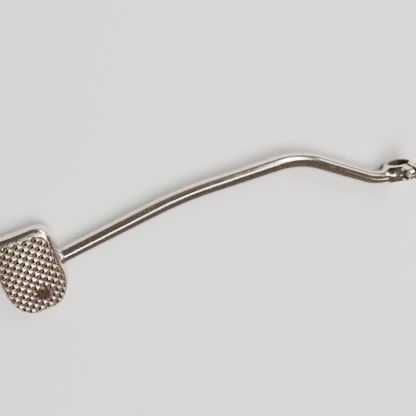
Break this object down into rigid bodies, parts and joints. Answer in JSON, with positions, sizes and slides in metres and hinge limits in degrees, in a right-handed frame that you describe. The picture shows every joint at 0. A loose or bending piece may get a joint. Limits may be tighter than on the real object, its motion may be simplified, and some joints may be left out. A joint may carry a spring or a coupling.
{
  "type": "motorcycle foot lever",
  "caption": "Chromed foot lever: bent round bar with a domed, chequered foot pad at one end and a split, serrated clamp boss with pinch bolt at the other.",
  "frame": {"origin": "on the shaft axis, half way along the clamp boss", "axes": "+Y along the shaft axis, -X from the boss towards the foot pad, +Z out of the pad's tread (the side the foot presses)"},
  "size_m": [0.2893, 0.0529, 0.0286],
  "materials": {
    "plated_bar": "bright chrome plate, lightly worn, fine scratches and small pits",
    "plated_boss": "bright chrome plate outside, dull oily steel serrations in the bore",
    "plated_pad": "worn, warm-toned plate on the tread with grime in the grooves and one rust-brown patch; smoother walls",
    "bolt_steel": "dull zinc plate, worn on the corners",
    "washer_steel": "dull zinc plate"
  },
  "bodies": {
    "lever": {"lever_arm": "plated_bar", "clamp_boss": "plated_boss", "foot_pad": "plated_pad", "pad_weld": "plated_bar", "boss_weld": "plated_boss"},
    "washers": {"plain_washer": "washer_steel", "lock_washer": "washer_steel"},
    "bolt": {"pinch_bolt": "bolt_steel"}
  },
  "joints": [
    {"name": "bolt_travel", "type": "slide", "parent": "lever", "child": "washers", "axis": [1, 0, 0], "range_m": [0, 0.003]},
    {"name": "bolt_spin", "type": "hinge", "parent": "washers", "child": "bolt", "pos_m": [0.012, 0, 0.0125], "axis": [1, 0, 0], "range_deg": [0, 1080]}
  ],
  "couplings": [
    {"joint": "bolt_spin", "follows": "bolt_travel", "rad_per_m": 6283.2}
  ]
}
